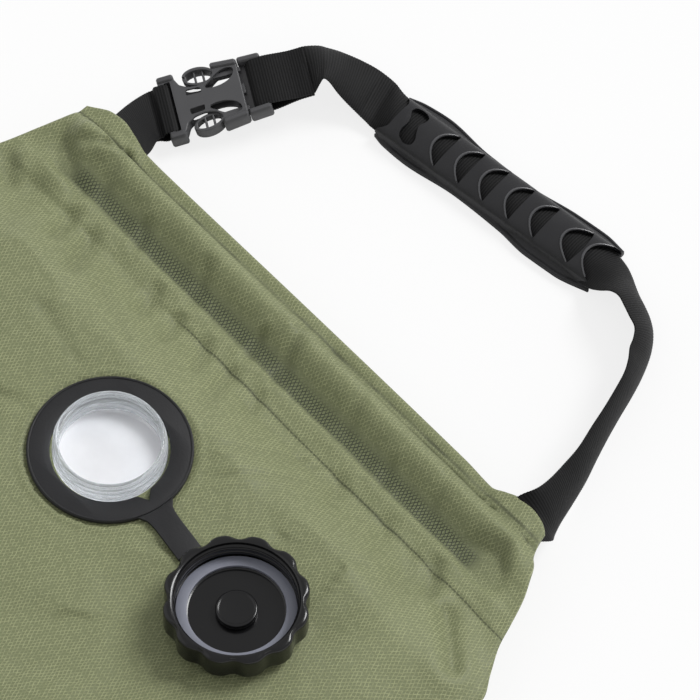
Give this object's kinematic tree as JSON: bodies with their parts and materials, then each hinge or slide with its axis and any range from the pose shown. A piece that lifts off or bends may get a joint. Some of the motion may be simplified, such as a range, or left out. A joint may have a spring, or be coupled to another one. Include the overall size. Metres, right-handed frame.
{
  "type": "camp shower bag",
  "caption": "Soft water bag with a welded hem, threaded fill port, cap on a leash, hose outlet, and a webbing carry strap with a side-release buckle and a sliding grip.",
  "frame": {"origin": "where the fill port's axis meets the face that the bag rests on", "axes": "+Z out of the front panel along the fill port's axis, +Y along the bag's length towards the carry strap, +X along the top hem"},
  "size_m": [0.396, 0.7324, 0.073],
  "materials": {
    "olive_fabric": "coated ripstop weave",
    "back_fabric": "coated ripstop weave",
    "black_webbing": "ribbed woven webbing",
    "buckle_plastic": "fine moulded texture",
    "grip_rubber": "satin",
    "clear_plastic": "clear, polished",
    "leash_rubber": "satin",
    "cap_plastic": "satin",
    "gasket_silicone": "smooth",
    "outlet_plastic": "satin"
  },
  "bodies": {
    "bag": {"front_panel": "olive_fabric", "back_panel": "back_fabric", "top_hem": "olive_fabric", "strap_short": "black_webbing", "strap_short_fold": "black_webbing", "strap_left_run": "black_webbing", "strap_grip_run": "black_webbing", "strap_right_run": "black_webbing", "buckle_female": "buckle_plastic", "fill_neck": "clear_plastic", "outlet_spigot": "outlet_plastic", "outlet_washer": "gasket_silicone", "outlet_nut": "outlet_plastic"},
    "leash_ring": {"leash_ring": "leash_rubber"},
    "leash_strap": {"leash_strap": "leash_rubber"},
    "leash_eye": {"leash_eye": "leash_rubber"},
    "cap": {"screw_cap": "cap_plastic", "cap_gasket": "gasket_silicone", "cap_stud": "cap_plastic"},
    "buckle_male": {"buckle_male_frame": "buckle_plastic", "strap_buckle_tail": "black_webbing"},
    "arm_left": {"buckle_arm_left": "buckle_plastic"},
    "arm_right": {"buckle_arm_right": "buckle_plastic"},
    "grip": {"grip_sleeve": "grip_rubber"}
  },
  "joints": [
    {"name": "leash_turn", "type": "hinge", "parent": "bag", "child": "leash_ring", "pos_m": [0, 0, 0.0485], "axis": [0, 0, 1], "continuous": true},
    {"name": "leash_lift", "type": "hinge", "parent": "leash_ring", "child": "leash_strap", "pos_m": [0.03734, -0.00591, 0.0505], "axis": [-0.1564, -0.9877, 0], "range_deg": [0, 92]},
    {"name": "leash_fold", "type": "hinge", "parent": "leash_strap", "child": "leash_eye", "pos_m": [0.0643, -0.01018, 0.0505], "axis": [-0.1564, -0.9877, 0], "range_deg": [0, 88]},
    {"name": "cap_spin", "type": "hinge", "parent": "leash_eye", "child": "cap", "pos_m": [0.10104, -0.016, 0.0508], "axis": [0, 0, 1], "continuous": true},
    {"name": "buckle_release", "type": "slide", "parent": "bag", "child": "buckle_male", "axis": [0.4908, 0.8501, 0.1908], "range_m": [0, 0.028], "deforming": ["strap_left_run", "buckle_arm_left", "buckle_arm_right"]},
    {"name": "latch_left", "type": "hinge", "parent": "buckle_male", "child": "arm_left", "pos_m": [-0.12432, 0.18693, 0.01245], "axis": [-0.0954, -0.1652, 0.9816], "range_deg": [0, 8], "stiffness_Nm_per_rad": 0.6},
    {"name": "latch_right", "type": "hinge", "parent": "buckle_male", "child": "arm_right", "pos_m": [-0.10492, 0.17574, 0.01245], "axis": [0.0954, 0.1652, -0.9816], "range_deg": [0, 8], "stiffness_Nm_per_rad": 0.6},
    {"name": "grip_slide", "type": "slide", "parent": "bag", "child": "grip", "axis": [0.9919, 0.1271, 0], "range_m": [-0.006, 0.006]}
  ]
}
